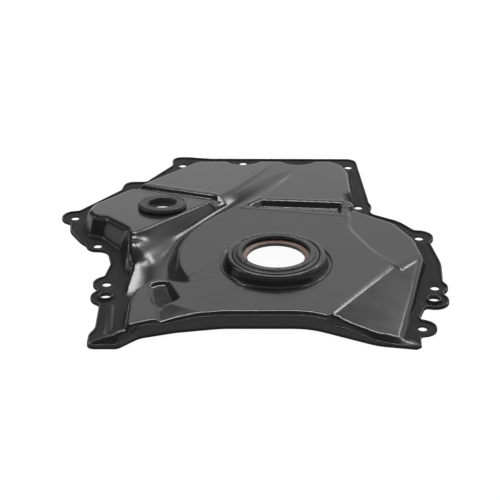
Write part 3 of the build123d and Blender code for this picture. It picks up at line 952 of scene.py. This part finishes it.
class Nodes:
    """Short calls for the nodes of one material or world."""

    def __init__(self, owner):
        owner.use_nodes = True
        self.tree = owner.node_tree

    def add(self, kind, **settings):
        node = self.tree.nodes.new(kind)
        for key, value in settings.items():
            setattr(node, key, value)
        return node

    def link(self, source, target):
        self.tree.links.new(source, target)

    def compute(self, operation, first, second):
        node = self.add("ShaderNodeMath", operation=operation)
        for socket, value in zip(node.inputs, (first, second)):
            if isinstance(value, float):
                socket.default_value = value
            else:
                self.link(value, socket)
        return node.outputs[0]

    def coordinates(self):
        return self.add("ShaderNodeTexCoord").outputs["Object"]

    def axes(self, vector):
        node = self.add("ShaderNodeSeparateXYZ")
        self.link(vector, node.inputs["Vector"])
        return node.outputs

    def noise(self, scale, detail, rough=0.5):
        node = self.add("ShaderNodeTexNoise")
        node.inputs["Scale"].default_value = scale
        node.inputs["Detail"].default_value = detail
        node.inputs["Roughness"].default_value = rough
        self.link(self.coordinates(), node.inputs["Vector"])
        return node.outputs["Fac"]

    def spread(self, value, low, high, start=0.3, end=0.7):
        """Spreads the values between start and end over low to high."""
        node = self.add("ShaderNodeMapRange")
        for name, number in (
            ("From Min", start), ("From Max", end), ("To Min", low), ("To Max", high)
        ):
            node.inputs[name].default_value = number
        self.link(value, node.inputs["Value"])
        return node.outputs["Result"]

    def blend(self, factor, first, second, **settings):
        """Mixes two colours, by a factor that is a number or an output."""
        node = self.add("ShaderNodeMix", data_type="RGBA", **settings)
        if isinstance(factor, float):
            node.inputs["Factor"].default_value = factor
        else:
            self.link(factor, node.inputs["Factor"])
        for socket, value in ((node.inputs[6], first), (node.inputs[7], second)):
            if isinstance(value, tuple):
                socket.default_value = (*value, 1)
            else:
                self.link(value, socket)
        return node.outputs[2]

    def bump(self, value, distance, strength, onto=None):
        node = self.add("ShaderNodeBump")
        node.inputs["Distance"].default_value = distance
        node.inputs["Strength"].default_value = strength
        self.link(value, node.inputs["Height"])
        if onto:
            self.link(onto, node.inputs["Normal"])
        return node.outputs["Normal"]


def paint_material():
    """Satin black paint on steel: fine orange peel, faint waves, some dust and a dull flange."""
    material = bpy.data.materials.new("satin_black_paint")
    n = Nodes(material)
    shader = n.tree.nodes["Principled BSDF"]
    shader.inputs["IOR"].default_value = PAINT_IOR
    colour = n.blend(n.spread(n.noise(18.0, 4.0), 0.0, 1.0), *PAINT_COLOURS)
    dust = n.spread(n.noise(420.0, 3.0, 0.7), 0.0, 0.35, 0.62, 0.8)
    n.link(n.blend(dust, colour, PAINT_DUST), shader.inputs["Base Color"])
    height = n.axes(n.coordinates())["Z"]
    dull = n.spread(height, FLANGE_DULLNESS, 0.0, *FLANGE_TOP)
    rough = n.compute("ADD", n.spread(n.noise(55.0, 3.0), *PAINT_ROUGHNESS), dull)
    n.link(rough, shader.inputs["Roughness"])
    peel = n.bump(n.noise(900.0, 2.0), 0.00001, 0.5)
    n.link(n.bump(n.noise(60.0, 2.0), 0.00006, 0.5, peel), shader.inputs["Normal"])
    return material


def rubber_material():
    """Moulded black rubber with a fine even grain and a dull bloom."""
    material = bpy.data.materials.new("seal_rubber")
    n = Nodes(material)
    shader = n.tree.nodes["Principled BSDF"]
    shader.inputs["IOR"].default_value = RUBBER_IOR
    bloom = n.spread(n.noise(130.0, 4.0), 0.0, 1.0)
    n.link(n.blend(bloom, *RUBBER_COLOURS), shader.inputs["Base Color"])
    n.link(n.spread(n.noise(300.0, 3.0), *RUBBER_ROUGHNESS), shader.inputs["Roughness"])
    n.link(n.bump(n.noise(2400.0, 2.0), 0.00002, 0.6), shader.inputs["Normal"])
    return material


def lip_material():
    """Red-brown lip, black with painted shade below its face in the bore and on its outer ring where it
    meets the case.
    """
    material = bpy.data.materials.new("seal_lip")
    n = Nodes(material)
    shader = n.tree.nodes["Principled BSDF"]
    shader.inputs["IOR"].default_value = LIP_IOR
    height = n.axes(n.coordinates())["Z"]
    # Brown only between these heights; below and above them the lip takes the painted shade colour.
    above = n.spread(height, 0.0, 1.0, *LIP_UNSHADED_START)
    unshaded = n.compute("MULTIPLY", above, n.spread(height, 1.0, 0.0, *LIP_UNSHADED_END))
    mottle = n.blend(n.spread(n.noise(260.0, 4.0), 0.0, 1.0), *LIP_COLOURS)
    n.link(n.blend(unshaded, LIP_PAINTED_SHADE, mottle), shader.inputs["Base Color"])
    n.link(n.spread(n.noise(500.0, 2.0), *LIP_ROUGHNESS), shader.inputs["Roughness"])
    n.link(n.bump(n.noise(1800.0, 2.0), 0.00002, 0.5), shader.inputs["Normal"])
    return material


# Pieces

def new_piece(mesh, material, node):
    """A piece of the cover with its mesh's name, which stands for a solid of the frame."""
    mesh.materials.append(material)
    piece = bpy.data.objects.new(mesh.name, mesh)
    bpy.context.scene.collection.objects.link(piece)
    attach(piece, "root")
    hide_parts(node)


def build_cover():
    mesh = mesh_from("cover_sheet", *sheet_mesh(FEATURES))
    set_sheet_normals(mesh)
    new_piece(mesh, paint_material(), "cover_pressing")


def build_seal(rubber):
    ring = turned("seal_ring", SEAL_PROFILE, SEAL_SEGMENTS, seal_relief)
    new_piece(ring, rubber, "crank_seal")
    new_piece(turned("seal_lip", LIP_PROFILE), lip_material(), "crank_seal_lip")


def build_bush(rubber):
    seat = (*BUSH_CENTRE, bay_height(BUSH_CENTRE[1]))
    bush = turned("bay_bush", BUSH_PROFILE, BUSH_SEGMENTS, bush_relief, seat, BAY_SLOPE)
    new_piece(bush, rubber, "rubber_bush")


# Stage, in metres

FLOOR_SIDE = 6.0
FLOOR_Z = -0.0002
FLOOR_GLOW = 0.9
FLOOR_STRENGTH = 1.06
FLOOR_COLOUR = (0.9, 0.9, 0.9, 1)

# Colours of the studio's walls, and where each begins and ends as a part of a unit direction
WHITE = (1.0, 1.0, 1.0)
BRIGHT = (1.26, 1.26, 1.26)
BRIGHTEST = (1.8, 1.8, 1.8)
DARK = (0.1, 0.1, 0.1)
BEHIND_BRIGHT = (0.28, 0.44)
BEHIND_BRIGHTEST = (0.45, 0.52)
BEHIND_CEILING = (0.54, 0.66)
BEHIND_LEFT = (-0.42, -0.26)
FRONT_SIDE = (-0.25, 0.0)
FRONT_WHITE = (0.25, 0.40)
FRONT_CEILING = (0.80, 0.92)

# Lamps: name, azimuth, elevation, distance, size and radiance
LAMPS = [
    ("top_strip", 180, 58, 1.4, (1.0, 0.2), 26.0),
    ("right_softbox", 146, 42, 1.4, (0.2, 0.2), 20.0),
    ("left_softbox", 262, 30, 1.5, (0.5, 0.9), 3.0),
]

CAMERA_LENS = 108
CAMERA_SENSOR = 36
CAMERA_CLIP_END = 50
CAMERA_DOWN = 27.5
CAMERA_PLACE = (-0.02063, -1.05444, 0.57359)


def floor_material():
    """A pale floor that looks white to the camera and in reflections, and keeps its shadow."""
    material = bpy.data.materials.new("floor_white")
    n = Nodes(material)
    n.tree.nodes.remove(n.tree.nodes["Principled BSDF"])
    rays = n.add("ShaderNodeLightPath").outputs
    seen = n.compute("MAXIMUM", rays["Is Camera Ray"], rays["Is Glossy Ray"])
    seen = n.compute("MAXIMUM", seen, rays["Is Transmission Ray"])
    diffuse = n.add("ShaderNodeBsdfDiffuse")
    diffuse.inputs["Color"].default_value = FLOOR_COLOUR
    glow = n.add("ShaderNodeEmission")
    glow.inputs["Strength"].default_value = FLOOR_STRENGTH
    mix = n.add("ShaderNodeMixShader")
    n.link(n.compute("MULTIPLY", seen, FLOOR_GLOW), mix.inputs[0])
    n.link(diffuse.outputs[0], mix.inputs[1])
    n.link(glow.outputs[0], mix.inputs[2])
    n.link(mix.outputs[0], n.tree.nodes["Material Output"].inputs["Surface"])
    return material


def studio_world():
    """White walls, brightest at mid height behind, and dark above, at the back left and low in front."""
    world = bpy.data.worlds.new("studio")
    n = Nodes(world)
    direction = n.axes(n.add("ShaderNodeTexCoord").outputs["Generated"])
    x, y, z = direction["X"], direction["Y"], direction["Z"]
    behind = n.blend(n.spread(z, 0.0, 1.0, *BEHIND_BRIGHT), WHITE, BRIGHT)
    behind = n.blend(n.spread(z, 0.0, 1.0, *BEHIND_BRIGHTEST), behind, BRIGHTEST)
    behind = n.blend(n.spread(z, 0.0, 1.0, *BEHIND_CEILING), behind, DARK)
    left = n.blend(n.spread(x, 1.0, 0.0, *BEHIND_LEFT), WHITE, DARK)
    behind = n.blend(1.0, behind, left, blend_type="MULTIPLY")
    front = n.blend(n.spread(z, 0.0, 1.0, *FRONT_CEILING), WHITE, DARK)
    front = n.blend(n.spread(z, 0.0, 1.0, *FRONT_WHITE), DARK, front)
    colour = n.blend(n.spread(y, 1.0, 0.0, *FRONT_SIDE), behind, front)
    n.link(colour, n.tree.nodes["Background"].inputs["Color"])
    return world


def softbox(name, azimuth, elevation, distance, size, radiance):
    """An area lamp that faces the object, with azimuth 0 at the viewer and 180 behind."""
    lamp = bpy.data.lights.new(name, "AREA")
    lamp.shape = "RECTANGLE"
    lamp.size, lamp.size_y = size
    lamp.energy = radiance * size[0] * size[1] * math.pi
    light = bpy.data.objects.new(name, lamp)
    a, e = math.radians(azimuth), math.radians(elevation)
    spot = Vector((math.sin(a) * math.cos(e), -math.cos(a) * math.cos(e), math.sin(e))) * distance
    light.location = spot
    light.rotation_euler = spot.to_track_quat("Z", "Y").to_euler()
    bpy.context.scene.collection.objects.link(light)


def add_floor():
    mesh = bpy.data.meshes.new("floor")
    corners = [(-1, -1), (1, -1), (1, 1), (-1, 1)]
    mesh.from_pydata([(FLOOR_SIDE * x, FLOOR_SIDE * y, 0) for x, y in corners], [], [(0, 1, 2, 3)])
    mesh.materials.append(floor_material())
    floor = bpy.data.objects.new("floor", mesh)
    floor.location.z = FLOOR_Z
    bpy.context.scene.collection.objects.link(floor)


def add_camera():
    camera = bpy.data.objects.new("camera", bpy.data.cameras.new("camera"))
    camera.data.sensor_width = CAMERA_SENSOR
    camera.data.lens = CAMERA_LENS
    camera.data.clip_end = CAMERA_CLIP_END
    camera.location = CAMERA_PLACE
    camera.rotation_euler = (math.radians(90 - CAMERA_DOWN), 0, 0)
    bpy.context.scene.collection.objects.link(camera)
    bpy.context.scene.camera = camera


def set_stage():
    add_floor()
    bpy.context.scene.world = studio_world()
    for lamp in LAMPS:
        softbox(*lamp)
    add_camera()
    bpy.context.scene.view_settings.view_transform = "Standard"


build_cover()
rubber = rubber_material()
build_seal(rubber)
build_bush(rubber)
set_stage()
